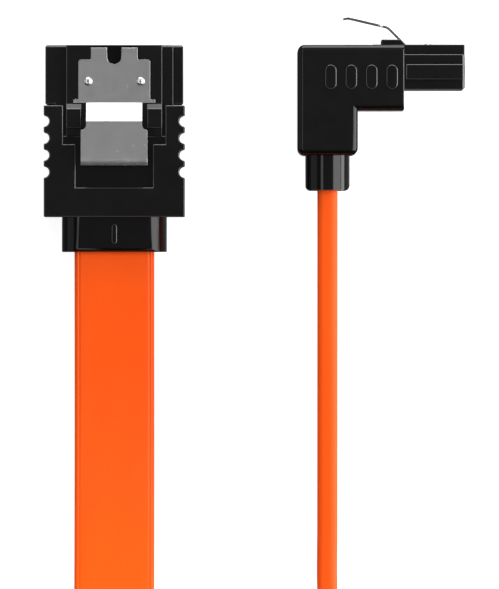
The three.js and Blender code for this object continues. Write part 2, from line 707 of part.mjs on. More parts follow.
function elbowPill(way, i) {
  const y = -ELBOW_FRONT - PILL_FIRST - i * PILL_PITCH;
  const z = -ELBOW_DROP - PILL_DROP;
  const w = PILL_WIDTH / 2;
  const h = PILL_LENGTH / 2;
  const face = way * (GRIP_WIDTH / 2);
  const pill = rectangle(y - w, y + w, z - h, z + h, w / 1.005);
  return alongX(pill, Math.min(face - way * ELBOW_EDGE, face + way * PILL_RISE),
    Math.max(face - way * ELBOW_EDGE, face + way * PILL_RISE));
}

// The inner moulding of the elbow: a block behind the insulator and one down the leg.
function elbowCore(room = 0) {
  const half = SHANK_WIDTH / 2 + room;
  const inset = GRIP_WALL + SEAT_GAP - room;
  const front = -INSULATOR_LENGTH - SEAT_GAP + room;
  const top = -ELBOW_DROP - inset;
  const arm = block(-half, half, -ELBOW_END + inset, front, -ELBOW_DROP - ARM_THICKNESS + inset, top);
  const legBack = -ELBOW_END + inset;
  const legFront = -ELBOW_END + LEG_THICKNESS - inset;
  const leg = block(-half, half, legBack, legFront, ELBOW_BOTTOM + inset, top);
  return arm.add(leg);
}

function elbowCollar(room = 0) {
  return collar(COLLAR_LENGTH + GRIP_WALL + 2 * SEAT_GAP, room).translate([0, -LEG_MIDDLE, ANGLED_MOUTH]);
}

function elbow() {
  const r = ELBOW_EDGE;
  const half = GRIP_WIDTH / 2;
  const round = { bevelThickness: r, bevelSize: r, bevelOffset: -r, bevelSegments: ARC_STEPS };
  const body = alongX(elbowOutline(), -half + r, half - r, { bevelEnabled: true, ...round });
  const past = block(-GRIP_WIDTH, GRIP_WIDTH, -ELBOW_FRONT, GRIP_WIDTH, -ELBOW_HEIGHT * 2, GRIP_WIDTH);
  const notch = block(-WINDOW_WIDTH / 2, WINDOW_WIDTH / 2, -ELBOW_FRONT - WINDOW_STEP, 0, -LEDGE_DROP, PAST);
  const pills = [];
  for (let i = 0; i < PILL_COUNT; i++) pills.push(elbowPill(-1, i), elbowPill(1, i));
  const cuts = [past, notch, shankSeat(), elbowCore(SEAT_GAP), elbowCollar(SEAT_GAP)];
  return joined([body, ...pills]).subtract(joined(cuts));
}

// A path that states its own frames, so that a flat section keeps its roll about the path.
class RolledPath extends THREE.CatmullRomCurve3 {
  constructor(points, rolls) {
    super(points, false, "centripetal");
    this.rolls = rolls;
  }
  computeFrenetFrames(segments) {
    const frames = { tangents: [], normals: [], binormals: [] };
    for (let i = 0; i <= segments; i++) {
      const u = i / segments;
      const tangent = this.getTangentAt(u);
      const place = this.getUtoTmapping(u) * (this.rolls.length - 1);
      const low = Math.min(Math.floor(place), this.rolls.length - 2);
      const roll = THREE.MathUtils.lerp(this.rolls[low], this.rolls[low + 1], place - low);
      const side = new THREE.Vector3(0, 0, 1).cross(tangent).normalize();
      const normal = side.applyAxisAngle(tangent, THREE.MathUtils.degToRad(roll));
      frames.tangents.push(tangent);
      frames.normals.push(normal);
      frames.binormals.push(tangent.clone().cross(normal));
    }
    return frames;
  }
}

function angledMould() {
  const duct = wireDuct(angledWirePath(WIRE_GAP));
  const mouth = cableMouth().translate([0, -LEG_MIDDLE, ANGLED_MOUTH]);
  return joined([elbowCore(), elbowCollar()]).subtract(joined([solderBay(), mouth, duct]));
}

function cableSection() {
  return rectangle(-CABLE_WIDTH / 2, CABLE_WIDTH / 2, -CABLE_THICKNESS / 2, CABLE_THICKNESS / 2, CABLE_EDGE);
}

function cableRun(route) {
  const points = route.map(([x, y, z]) => new THREE.Vector3(x, y, z));
  const path = new RolledPath(points, route.map((point) => point[3]));
  const steps = Math.round(path.getLength() / (CABLE_THICKNESS * 2.5));
  return solid(new THREE.ExtrudeGeometry(cableSection(), { extrudePath: path, steps, curveSegments: 1 }));
}

// The coil's outer shape: a ring as high as the cable is wide.
function coilRing() {
  const inner = COIL_INNER - CABLE_THICKNESS / 2;
  const outer = COIL_OUTER + CABLE_THICKNESS / 2;
  const low = COIL_FLOOR;
  const high = COIL_FLOOR + CABLE_WIDTH;
  const e = CABLE_EDGE;
  const profile = [
    [inner + e, low], [outer - e, low], [outer, low + e], [outer, high - e],
    [outer - e, high], [inner + e, high], [inner, high - e], [inner, low + e], [inner + e, low],
  ].map(([r, z]) => new THREE.Vector2(r, z));
  const geometry = new THREE.LatheGeometry(profile, COIL_FACETS);
  geometry.rotateX(Math.PI / 2);
  geometry.translate(0, COIL_CENTRE_Y, 0);
  return solid(geometry);
}

// A strap around the coil where two turns lie side by side.
function coilTie() {
  const half = (COIL_OUTER - COIL_INNER + CABLE_THICKNESS) / 2 + TIE_SIDE_GAP;
  const middle = (COIL_INNER + COIL_OUTER) / 2;
  const high = COIL_FLOOR + CABLE_WIDTH + TIE_GAP;
  const loop = rectangle(-half - TIE_STRAP, half + TIE_STRAP, 0, high + TIE_STRAP, 1);
  loop.holes.push(rectangle(-half, half, TIE_STRAP, high, 1 - TIE_STRAP));
  const geometry = extruded(loop, TIE_WIDTH);
  geometry.rotateX(Math.PI / 2);
  geometry.translate(middle, TIE_WIDTH / 2, 0);
  geometry.rotateZ(THREE.MathUtils.degToRad(TIE_ANGLE));
  geometry.translate(0, COIL_CENTRE_Y, 0);
  return solid(geometry);
}

function addPiece(group, name, body, material) {
  const mesh = new THREE.Mesh(geometryOf(body), material);
  mesh.geometry.computeVertexNormals();
  mesh.name = name;
  group.add(mesh);
}

// What both plugs share: insulator, latch, contacts and the wires behind them.
function addPlug(group, prefix, wirePath) {
  addPiece(group, prefix + "_insulator", insulator(), blackShell);
  addPiece(group, prefix + "_latch", latch(), steel);
  contactPlaces().forEach((x, i) => {
    const place = i + 1;
    const drain = DRAIN_PLACES.includes(i);
    addPiece(group, prefix + "_contact_" + place, contact(x), gilt);
    addPiece(group, prefix + (drain ? "_drain_wire_" : "_core_wire_") + place, wire(i, wirePath),
      drain ? tinned : coreWhite);
  });
}

const straightPlug = new THREE.Group();
straightPlug.position.set(STRAIGHT_X, STRAIGHT_FRONT_Y, STRAIGHT_Z);
addPlug(straightPlug, "straight", straightWirePath());
addPiece(straightPlug, "straight_grip", grip(), blackShell);
addPiece(straightPlug, "straight_inner_mould", straightMould(), blackGloss);

// The right-angle plug lies on its side: its x points up, and its nose points along +x of the part.
const angledPlug = new THREE.Group();
const angledTurn = new THREE.Matrix4().makeBasis(
  new THREE.Vector3(0, 0, 1), new THREE.Vector3(1, 0, 0), new THREE.Vector3(0, 1, 0));
angledPlug.quaternion.setFromRotationMatrix(angledTurn);
angledPlug.position.set(ANGLED_X + LEG_MIDDLE, ANGLED_TOP_Y, ANGLED_Z);
addPlug(angledPlug, "angled", angledWirePath());
addPiece(angledPlug, "angled_elbow_grip", elbow(), blackShell);
addPiece(angledPlug, "angled_inner_mould", angledMould(), blackGloss);

const cable = new THREE.Group();
addPiece(cable, "cable_straight_run", cableRun(STRAIGHT_ROUTE), orange);
addPiece(cable, "cable_angled_run", cableRun(ANGLED_ROUTE), orange);
addPiece(cable, "cable_coil", coilRing(), orange);
addPiece(cable, "coil_tie", coilTie(), strap);

// The origin is under the middle of the box around the two plugs.
const part = new THREE.Group();
const boxLeft = STRAIGHT_X - GRIP_WIDTH / 2;
const boxRight = ANGLED_X + LEG_MIDDLE;
const boxLow = STRAIGHT_FRONT_Y - STRAIGHT_MOUTH;
const boxHigh = ANGLED_TOP_Y + RAMP_RISE + TAB_RISE;
part.position.set(-(boxLeft + boxRight) / 2, -(boxLow + boxHigh) / 2, 0);
part.add(straightPlug, angledPlug, cable);

export default part;
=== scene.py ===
# %% [markdown]
# # A flat data cable with a straight plug and a right-angle plug
#
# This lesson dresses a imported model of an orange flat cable. One end has a straight black plug, the
# other a right-angle plug, and each plug has a folded steel latch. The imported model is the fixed
# frame: it says where each piece is and which body it moves with. Every cell below adds the look of
# one piece or one finish.
#
# Lengths are written in millimetres and multiplied by `MM`, because Blender works in metres here.

import math

import bmesh
import bpy
import numpy as np
from mathutils import Matrix, Vector


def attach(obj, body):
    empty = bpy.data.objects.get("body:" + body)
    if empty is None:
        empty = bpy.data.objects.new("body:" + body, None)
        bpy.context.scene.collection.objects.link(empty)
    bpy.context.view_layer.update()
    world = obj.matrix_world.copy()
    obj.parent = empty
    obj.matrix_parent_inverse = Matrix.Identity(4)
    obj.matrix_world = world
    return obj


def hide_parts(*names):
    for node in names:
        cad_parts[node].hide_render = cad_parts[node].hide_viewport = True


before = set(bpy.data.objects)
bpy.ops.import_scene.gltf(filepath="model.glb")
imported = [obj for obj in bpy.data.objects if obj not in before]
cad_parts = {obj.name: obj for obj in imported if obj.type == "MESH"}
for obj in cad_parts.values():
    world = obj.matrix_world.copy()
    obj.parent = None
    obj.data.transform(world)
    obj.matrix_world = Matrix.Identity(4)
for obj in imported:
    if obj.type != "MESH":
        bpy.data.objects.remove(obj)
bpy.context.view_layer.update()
MM = 0.001

# %% [markdown]
# ## The camera
#
# The photograph looks straight down on both plugs from far away, so edges that run up towards the
# camera can't be seen at all. A long lens far above the table does the same. One pixel of the
# photograph is a tenth of a millimetre at the height of the plugs, and the 36 mm sensor spans the
# picture's long side, so the distance follows from the lens.

# %% The camera
PIXEL = 0.1 * MM
PICTURE_HEIGHT = 589  # pixels
PICTURE_MIDDLE = (-0.43 * MM, -15.955 * MM)
FOCUS_HEIGHT = 5 * MM
LENS = 1000
SENSOR = 36

camera_data = bpy.data.cameras.new("camera")
camera_data.lens = LENS
camera_data.sensor_width = SENSOR
camera = bpy.data.objects.new("camera", camera_data)
bpy.context.scene.collection.objects.link(camera)
distance = PICTURE_HEIGHT * PIXEL * LENS / SENSOR
camera.location = (*PICTURE_MIDDLE, FOCUS_HEIGHT + distance)
camera_data.clip_start = 0.1
camera_data.clip_end = 4 * distance
bpy.context.scene.camera = camera
print(f"camera {distance:.3f} m above the plugs")

# %% [markdown]
# ## Sweeping a section along a path
#
# The cable and the strap are both long pieces with one section all the way along. A curve with a
# bevel object could make them, but a flat section must keep its roll about the path, and a curve's
# own twist is hard to state. So the section's points are placed ring by ring, from a list of
# centres and a direction for the section's width. The rings are joined by quads, the ends are
# closed, and the UV map says how far across and along the piece each point is, in metres, which the
# finishes use later.

# %% A mesh from rings of points
SWEEP_SMOOTH = 50  # degrees between faces that are shaded as one


def linked(name, mesh):
    piece = bpy.data.objects.new(name, mesh)
    bpy.context.scene.collection.objects.link(piece)
    return piece


def along_path(points):
    """Distance from the start to each point."""
    steps = np.linalg.norm(np.diff(points, axis=0), axis=1)
    return np.concatenate([[0.0], np.cumsum(steps)])


def tangents(points):
    spans = np.gradient(points, axis=0)
    return spans / np.linalg.norm(spans, axis=1)[:, None]


def swept(name, points, sides, section):
    """A closed mesh of the section's (across, up) points round each centre. Sides point across."""
    ups = np.cross(tangents(points), sides)
    rings = [centre + section[:, :1] * side + section[:, 1:] * up
             for centre, side, up in zip(points, sides, ups)]
    lengths = along_path(points)
    girth = along_path(np.vstack([section, section[:1]]))
    count = len(section)
    made = bmesh.new()
    uv = made.loops.layers.uv.new("along")
    rows = [[made.verts.new(p) for p in ring] for ring in rings]
    for i in range(len(rows) - 1):
        for j in range(count):
            k = (j + 1) % count
            face = made.faces.new((rows[i][j], rows[i][k], rows[i + 1][k], rows[i + 1][j]))
            places = ((j, i), (j + 1, i), (j + 1, i + 1), (j, i + 1))
            for loop, (across, down) in zip(face.loops, places):
                loop[uv].uv = (girth[across], lengths[down])
    made.faces.new(rows[0][::-1])
    made.faces.new(rows[-1])
    bmesh.ops.recalc_face_normals(made, faces=made.faces)
    mesh = bpy.data.meshes.new(name)
    made.to_mesh(mesh)
    made.free()
    return linked(name, mesh)


def smooth_sweep(piece):
    piece.data.shade_smooth()
    piece.data.set_sharp_from_angle(angle=math.radians(SWEEP_SMOOTH))


# %% [markdown]
# ## The route of the cable
#
# The real cable is half a metre long, and the photograph shows only its two ends. The rest is put
# away as for storage: the flat cable leaves the straight plug, rises over the coil, rolls on edge
# inside it, runs round for a little more than one turn, and comes back to the right-angle plug on
# edge. The points are the same as those of the solid model: x, y, z and the roll of the flat
# section, 0 lying flat and 90 on edge.
#
# A centripetal Catmull-Rom curve passes through all of them without loops or overshoot. The roll is
# carried through the curve as a fourth number, so it turns as smoothly as the cable bends.

# %% The route of the cable
ROUTE_ORIGIN = (3.3, 45.405, 0.0)
FROM_STRAIGHT_PLUG = [
    (-10.65, 34.45, 3.25, 0), (-10.65, 30.0, 3.1, 0), (-10.65, 25.0, 2.7, 0),
    (-10.65, 20.0, 2.4, 0), (-10.65, 14.0, 2.5, 0), (-10.65, 8.0, 3.3, 0), (-10.65, 2.0, 4.9, 0),
    (-10.65, -4.0, 7.0, 0), (-10.65, -9.0, 8.6, 0), (-10.65, -14.0, 9.55, 0),
    (-10.65, -18.5, 9.75, 0), (-10.65, -23.0, 9.6, 0), (-10.65, -29.0, 9.0, 7),
    (-10.65, -36.0, 7.9, 20), (-10.65, -43.0, 6.7, 36), (-10.65, -49.0, 5.8, 51),
    (-10.65, -54.5, 5.2, 64), (-9.2, -62.5, 4.7, 79), (-5.2, -69.5, 4.45, 88),
    (1.0, -74.7, 4.4, 90), (8.6, -77.4, 4.4, 90), (16.7, -77.4, 4.4, 90), (24.3, -74.7, 4.4, 90),
    (30.3, -69.8, 4.4, 90), (34.4, -63.2, 4.4, 90),
]
TO_ANGLED_PLUG = [
    (18.13, -18.61, 4.4, 90), (15.3, -15.3, 4.4, 90), (13.9, -13.2, 4.4, 90), (12.1, -9.4, 4.4, 90),
    (11.0, -5.4, 4.42, 90), (10.65, 0.0, 4.55, 90), (10.65, 6.0, 4.85, 90), (10.65, 12.0, 5.3, 90),
    (10.65, 18.0, 5.85, 90), (10.65, 24.0, 6.4, 90), (10.65, 30.0, 6.85, 90),
    (10.65, 36.0, 7.15, 90), (10.65, 40.5, 7.2, 90),
]
COIL_MIDDLE = (0.0, -54.5)
COIL_HEIGHT = 4.4
COIL_INNER = 36.0
COIL_PITCH = 3.1
COIL_SWEEP = 417  # degrees
COIL_STEP = 11.9  # degrees between the points of the coil
ON_EDGE = 90  # roll of the section in the coil
CURVE_STEPS = 7  # short steps between two points of the route


def coil_radius(degrees):
    return COIL_INNER + COIL_PITCH * degrees / 360


def coil_points():
    found = []
    for degrees in np.linspace(0, COIL_SWEEP, round(COIL_SWEEP / COIL_STEP) + 1):
        angle, radius = math.radians(degrees), coil_radius(degrees)
        x = COIL_MIDDLE[0] + radius * math.cos(angle)
        y = COIL_MIDDLE[1] + radius * math.sin(angle)
        found.append((x, y, COIL_HEIGHT, ON_EDGE))
    return found


def between(a, b, start, end, now):
    return a + (b - a) * (now - start) / (end - start)


def catmull_rom(knots, steps):
    """A centripetal curve through the knots. Only x, y and z set how far apart they are."""
    first, last = 2 * knots[0] - knots[1], 2 * knots[-1] - knots[-2]
    padded = np.vstack([first, knots, last])
    gaps = np.sqrt(np.linalg.norm(np.diff(padded[:, :3], axis=0), axis=1))
    times = np.concatenate([[0.0], np.cumsum(gaps)])
    curve = []
    for i in range(1, len(padded) - 2):
        p, t = padded[i - 1:i + 3], times[i - 1:i + 3]
        for now in np.linspace(t[1], t[2], steps, endpoint=False):
            a = [between(p[j], p[j + 1], t[j], t[j + 1], now) for j in range(3)]
            b = [between(a[j], a[j + 1], t[j], t[j + 2], now) for j in range(2)]
            curve.append(between(b[0], b[1], t[1], t[2], now))
    curve.append(knots[-1])
    return np.array(curve)


knots = FROM_STRAIGHT_PLUG + coil_points() + TO_ANGLED_PLUG
route = catmull_rom(np.array(knots, float), CURVE_STEPS)
cable_path = (route[:, :3] - ROUTE_ORIGIN) * MM
cable_rolls = np.radians(route[:, 3])

# %% [markdown]
# ## The section of the cable
#
# The jacket is pressed flat, 8 mm wide and 2 mm thick, with round edges. A close look at the
# photograph shows a fine bright line and a dark one beside each edge: a shallow groove that sets
# off a bead along the edge. The groove is only a few hundredths of a millimetre deep, but it is
# real geometry here, because it is what catches the light all along the cable. A quarter of the
# section is written down and mirrored twice.

# %% The flat cable
QUARTER = [  # from the middle of the broad face to the middle of the edge, in mm
    (1.7, 1.0), (3.32, 1.0), (3.41, 0.99), (3.48, 0.945), (3.53, 0.93), (3.58, 0.945),
    (3.64, 0.965), (3.72, 0.955), (3.81, 0.89), (3.89, 0.78), (3.95, 0.62), (3.985, 0.42),
    (4.0, 0.2),
]


def cable_section():
    right = QUARTER + [(x, -z) for x, z in reversed(QUARTER)]
    left = [(-x, -z) for x, z in right]
    whole = [(0.0, 1.0)] + right + [(0.0, -1.0)] + left
    return np.array(whole) * MM


def rolled_sides(points, rolls):
    """The width direction of the flat section: level at roll 0 and upright at 90 degrees."""
    ahead = tangents(points)
    level = np.cross((0.0, 0.0, 1.0), ahead)
    level /= np.linalg.norm(level, axis=1)[:, None]
    return level * np.cos(rolls)[:, None] + np.cross(ahead, level) * np.sin(rolls)[:, None]


cable = swept("flat_cable", cable_path, rolled_sides(cable_path, cable_rolls), cable_section())
smooth_sweep(cable)
print("cable faces:", len(cable.data.polygons))

# %% [markdown]
# ## The strap round the coil
#
# Two turns lie side by side at one place of the coil, and a narrow strap holds them there. A real
# strap is a strip of woven tape with hooks on one face, wrapped round and pressed onto itself, so
# its end lies on its own start. The same sweep makes it: the path goes round the two turns and a
# little further, moving outwards by the strap's thickness where it overlaps.

# %% The strap
TIE_ANGLE = math.radians(28)
TIE_WIDTH = 6.0
TIE_THICKNESS = 0.3
TIE_HALF = 3.045 + TIE_THICKNESS / 2  # middle of the strap, from the middle of the two turns
TIE_LOW, TIE_HIGH = TIE_THICKNESS / 2, 8.65
TIE_CORNER = 0.85
TIE_LAP = 6.2  # length that lies on the start of the strap
TIE_PLAY = 0.04  # between the strap's start and the end that lies on it
TIE_START, TIE_LEAVES, TIE_LIES = 0.8, 0.3, 1.1  # heights over the lower corner


def round_corner(x, z, start, radius, steps=6):
    """A quarter circle about (x, z), from the start angle in degrees."""
    angles = np.radians(start + np.linspace(0, 90, steps))
    return [(x + radius * math.cos(a), z + radius * math.sin(a)) for a in angles]


def tie_loop():
    """Once round the two turns, from low on the outer side, then over its own start."""
    x, r = TIE_HALF - TIE_CORNER, TIE_CORNER
    low, high = TIE_LOW + r, TIE_HIGH - r
    loop = [(TIE_HALF, low + TIE_START)]
    loop += round_corner(x, high, 0, r) + round_corner(-x, high, 90, r)
    loop += round_corner(-x, low, 180, r) + round_corner(x, low, 270, r)
    step_out = TIE_THICKNESS + TIE_PLAY
    loop += [(TIE_HALF + step_out * 0.15, low + TIE_LEAVES), (TIE_HALF + step_out, low + TIE_LIES)]
    loop += [(TIE_HALF + step_out, low + TIE_LIES + TIE_LAP * part) for part in (0.5, 0.95)]
    return loop + [(TIE_HALF + step_out * 1.1, low + TIE_LIES + TIE_LAP)]


def tie_section():
    half, thick, round_off = TIE_WIDTH / 2, TIE_THICKNESS / 2, 0.09
    quarter = [(half - round_off, thick), (half - 0.03, thick - 0.03), (half, thick - round_off)]
    right = quarter + [(x, -z) for x, z in reversed(quarter)]
    return np.array(right + [(-x, -z) for x, z in right]) * MM


def tie_place(out, up):
    """A point out from the middle of the two turns and up from the table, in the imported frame."""
    radius = COIL_INNER + COIL_PITCH * COIL_SWEEP / 360 / 2 + out
    x = COIL_MIDDLE[0] + radius * math.cos(TIE_ANGLE) - ROUTE_ORIGIN[0]
    y = COIL_MIDDLE[1] + radius * math.sin(TIE_ANGLE) - ROUTE_ORIGIN[1]
    return x * MM, y * MM, up * MM


tie_path = np.array([tie_place(out, up) for out, up in tie_loop()])
tie_side = np.array([-math.sin(TIE_ANGLE), math.cos(TIE_ANGLE), 0.0])
strap = swept("coil_strap", tie_path, np.tile(tie_side, (len(tie_path), 1)), tie_section())
smooth_sweep(strap)
print(f"strap: {along_path(tie_path)[-1] / MM:.1f} mm long")

# %% [markdown]
# ## Writing node maths as sums
#
# Finishes and Geometry Nodes are both graphs of nodes. Wiring each Math node by hand hides what is
# meant, so a socket is wrapped in a class that overloads the operators. An expression such as
# `0.4 + 0.1 * grain` then adds its Math nodes by itself. Every other kind of node comes from one
# method, which takes the node's type, its settings and its sockets.

# %% A graph of nodes
class Value:
    """A socket that can stand in a sum."""

    def __init__(self, graph, socket):
        self.graph, self.socket = graph, socket

    def maths(self, operation, first, second=0.0):
        return self.graph.node("ShaderNodeMath", {"operation": operation}, {0: first, 1: second})

    def __add__(self, other):
        return self.maths("ADD", self, other)

    def __sub__(self, other):
        return self.maths("SUBTRACT", self, other)

    def __rsub__(self, other):
        return self.maths("SUBTRACT", other, self)

    def __mul__(self, other):
        return self.maths("MULTIPLY", self, other)

    __radd__ = __add__
    __rmul__ = __mul__


class Graph:
    def __init__(self, tree):
        self.tree = tree

    def node(self, kind, settings=None, sockets=None, out=0):
        """Adds a node of any kind: its settings first, then its sockets, by name or number."""
        made = self.tree.nodes.new(kind)
        for name, value in (settings or {}).items():
            setattr(made, name, value)
        for name, value in (sockets or {}).items():
            self.feed(made.inputs[name], value)
        return Value(self, made.outputs[out]) if made.outputs else made

    def feed(self, socket, value):
        if isinstance(value, Value):
            self.tree.links.new(value.socket, socket)
        else:
            socket.default_value = value


# %% [markdown]
# ## Finishes
#
# Every finish starts from the principled shader. What is the same all over a piece is set on the
# shader's own sockets, and only colour, roughness, coat and bump vary. A pattern reads the piece's
# own coordinates, or the UV map of a swept piece where it has to follow the cable.

# %% A finish
HIGHLIGHT_LAYER = "highlight_and_cut"  # a number on every face, 1 where a highlight is painted on a round or rim
SHEARED = -1.0  # the same number on the cut edges of sheet


class Finish(Graph):
    """A material with the principled shader, whose sockets take values or sums."""

    def __init__(self, name, **constants):
        self.material = bpy.data.materials.new(name)
        self.material.use_nodes = True
        super().__init__(self.material.node_tree)
        self.shader = self.tree.nodes["Principled BSDF"]
        for socket, value in constants.items():
            self.shader.inputs[socket.replace("_", " ")].default_value = value

    def set(self, socket, value):
        self.feed(self.shader.inputs[socket], value)

    def places(self, scale=(1, 1, 1)):
        """The piece's own coordinates, in metres, stretched by scale."""
        where = self.node("ShaderNodeTexCoord", out="Object")
        return self.node("ShaderNodeMapping", sockets={"Vector": where, "Scale": scale})

    def along(self, scale=(1, 1, 1)):
        """How far across and along a swept piece a point is, in metres, stretched by scale."""
        where = self.node("ShaderNodeUVMap", {"uv_map": "along"})
        return self.node("ShaderNodeMapping", sockets={"Vector": where, "Scale": scale})

    def highlight_and_cut(self):
        """How much highlight is painted on a face: 1 on a round, 0 on a plain face, SHEARED on a cut
        edge.
        """
        return self.node("ShaderNodeAttribute", {"attribute_name": HIGHLIGHT_LAYER}, out="Fac")

    def noise(self, where, scale, detail=2.0):
        sockets = {"Vector": where, "Scale": scale, "Detail": detail}
        return self.node("ShaderNodeTexNoise", sockets=sockets)

    def mixed(self, factor, first, second):
        """A colour between two colours."""
        made = self.tree.nodes.new("ShaderNodeMix")
        made.data_type = "RGBA"
        for number, value in ((0, factor), (6, first), (7, second)):
            self.feed(made.inputs[number], value)
        return Value(self, made.outputs[2])

    def bump(self, height, distance):
        normal = self.node("ShaderNodeBump", sockets={"Height": height, "Distance": distance})
        self.set("Normal", normal)


# %% [markdown]
# ## Black mouldings
#
# The shell has the fine even grain of a spark-eroded mould, which breaks up its reflections, and
# the collar is smoother and shinier. Both are nearly black. A little variation at two scales keeps
# them from looking like paint: grains of a tenth of a millimetre, and broad soft patches where the
# plastic flowed. The rounds get a painted highlight, a shade lighter than the faces, and a gloss
# coat.

# %% Black finishes
FINE = 9000  # noise scale for grains and streaks of about a tenth of a millimetre
FLOW = 420  # noise scale for patches of a few millimetres
DEEP_BLACK = (0.0015, 0.0015, 0.0016, 1)
# painted highlight: the lighter grey given to the rounds and the pills' rims
HIGHLIGHT_BLACK = (0.035, 0.035, 0.036, 1)


def black_plastic(name, light, roughness, spread, grain_depth):
    finish = Finish(name, Specular_IOR_Level=0.36, Coat_Roughness=0.12)
    where = finish.places()
    grain = finish.noise(where, FINE)
    patches = finish.noise(where, FLOW, 3.0)
    highlight_mask = finish.highlight_and_cut()
    flowed = finish.mixed(patches, DEEP_BLACK, light)
    # the rounds and rims get a painted highlight in their base colour, and a gloss coat
    finish.set("Base Color", finish.mixed(highlight_mask, flowed, HIGHLIGHT_BLACK))
    finish.set("Roughness", roughness + spread * (patches - 0.5) + 0.5 * spread * (grain - 0.5))
    finish.set("Coat Weight", highlight_mask)
    finish.bump(grain, grain_depth * MM)
    return finish.material


shell_black = black_plastic("shell_black", light=(0.0035, 0.0035, 0.0037, 1),
                            roughness=0.17, spread=0.06, grain_depth=0.0008)
collar_black = black_plastic("collar_black", light=(0.003, 0.003, 0.0032, 1),
                             roughness=0.12, spread=0.04, grain_depth=0.0004)

# %% [markdown]
# ## Spring steel and gold plate
#
# The latch is stamped from rolled strip. Rolling leaves very fine streaks along the strip, which
# spread the reflections sideways. Stretched noise makes them: it changes fast across the strip and
# slowly along it. The edges where the strip was sheared are duller than its faces. The rims of the
# dimples get a painted highlight in near-white, and the latch's rounds a weaker one. The contacts
# are gold plated, with a slightly uneven sheen.

# %% Metal finishes
SHEARED_STEEL = (0.2, 0.2, 0.205, 1)
# painted highlight: near-white steel on the dimples' rims, mixed in weakly on the latch's rounds
HIGHLIGHT_STEEL = (0.97, 0.97, 0.97, 1)
STREAK = 0.03  # how little a streak changes along the strip, next to across it


def rolled_steel(name, stretch):
    finish = Finish(name, Metallic=1.0)
    where = finish.places(stretch)
    streaks = finish.noise(where, FINE, 3.0)
    stains = finish.noise(finish.places(), 700)
    rolled = finish.mixed(stains, (0.42, 0.42, 0.425, 1), (0.5, 0.5, 0.505, 1))
    cut = finish.mixed(finish.highlight_and_cut() * SHEARED, rolled, SHEARED_STEEL)
    # the marked faces get a painted highlight in near-white
    finish.set("Base Color", finish.mixed(finish.highlight_and_cut(), cut, HIGHLIGHT_STEEL))
    finish.set("Roughness", 0.2 + 0.1 * streaks)
    finish.bump(streaks, 0.001 * MM)
    return finish.material


def plated(name, dull, bright, roughness):
    finish = Finish(name, Metallic=1.0)
    sheen = finish.noise(finish.places(), 2500, 3.0)
    finish.set("Base Color", finish.mixed(sheen, dull, bright))
    finish.set("Roughness", roughness + 0.15 * (sheen - 0.5))
    finish.bump(sheen, 0.002 * MM)
    return finish.material


steel_along_y = rolled_steel("steel_along_y", (1.0, STREAK, 1.0))
steel_along_x = rolled_steel("steel_along_x", (STREAK, 1.0, 1.0))
gold_plate = plated("gold_plate", dull=(0.72, 0.46, 0.14, 1), bright=(0.92, 0.68, 0.3, 1),
                    roughness=0.28)
tinned_copper = plated("tinned_copper", dull=(0.5, 0.51, 0.52, 1), bright=(0.68, 0.69, 0.7, 1),
                       roughness=0.35)

# %% [markdown]
# ## The jacket, the insulation and the strap
#
# The jacket is soft orange plastic, drawn through a die, so its faint marks run along the cable.
# They follow the cable round its bends, so this finish reads the UV map made by the sweep. The
# white insulation of the cores and the black strap are the other soft pieces. The strap's weave is
# two crossing waves of threads, with a fluff of fibres over them.

# %% Soft finishes
def drawn_jacket(name):
    finish = Finish(name, Specular_IOR_Level=0.16)
    lines = finish.noise(finish.along((1.0, 0.012, 1.0)), 5200, 3.0)
    clouds = finish.noise(finish.along((1.0, 0.35, 1.0)), 260, 3.0)
    tone = 0.65 * clouds + 0.35 * lines
    finish.set("Base Color", finish.mixed(tone, (0.93, 0.085, 0.0025, 1), (1.0, 0.109, 0.004, 1)))
    finish.set("Roughness", 0.26 + 0.14 * lines)
    finish.bump(lines, 0.005 * MM)
    return finish.material


def insulation(name):
    finish = Finish(name)
    clouds = finish.noise(finish.places(), 900)
    finish.set("Base Color", finish.mixed(clouds, (0.74, 0.73, 0.69, 1), (0.84, 0.83, 0.8, 1)))
    finish.set("Roughness", 0.45 + 0.15 * clouds)
    finish.bump(clouds, 0.004 * MM)
    return finish.material


def woven_strap(name):
    finish = Finish(name, Specular_IOR_Level=0.3)
    thread = {"wave_type": "BANDS", "wave_profile": "SIN"}
    across = finish.node("ShaderNodeTexWave", {**thread, "bands_direction": "X"},
                         {"Vector": finish.along(), "Scale": 900.0, "Distortion": 0.4}, out="Fac")
    down = finish.node("ShaderNodeTexWave", {**thread, "bands_direction": "Y"},
                       {"Vector": finish.along(), "Scale": 640.0, "Distortion": 0.4}, out="Fac")
    weave = across * down
    fluff = finish.noise(finish.places(), 6000, 4.0)
    fibres = 0.7 * weave + 0.3 * fluff
    finish.set("Base Color", finish.mixed(fibres, (0.004, 0.004, 0.005, 1), (0.03, 0.03, 0.032, 1)))
    finish.set("Roughness", 0.75 + 0.2 * fluff)
    finish.bump(weave + 0.4 * fluff, 0.06 * MM)
    return finish.material


jacket_orange = drawn_jacket("jacket_orange")
core_white = insulation("core_white")
strap_black = woven_strap("strap_black")

# %% [markdown]
# ## Moulded pieces
#
# The plugs' shells are injection moulded. Every outer edge of a moulding has a small round, because
# no mould is perfectly sharp, and in the photograph these rounds are the thin bright lines that
# draw the black plugs. The solid model has the right shapes with sharp edges, so a copy of each
# solid is merged, its flat faces are joined, and its longer outer edges are bevelled in three
# steps. A round needs room where it ends, so an edge that runs into a very short one, such as a
# step of an arc, stays sharp.

# %% Rounded copies of the mouldings
MERGE = 0.001 * MM
FLAT = math.radians(0.5)
EDGE_ANGLE = math.radians(30)
ROUND_STEPS = 3
ROOM = 2.0  # how many roundings long the edges at its ends must be, for an edge to be rounded


def merged_copy(node):
    made = bmesh.new()
    made.from_mesh(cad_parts[node].data)
    made.faces.layers.float.new(HIGHLIGHT_LAYER)
    bmesh.ops.remove_doubles(made, verts=made.verts, dist=MERGE)
    bmesh.ops.dissolve_limit(made, angle_limit=FLAT, verts=made.verts, edges=made.edges)
    return made


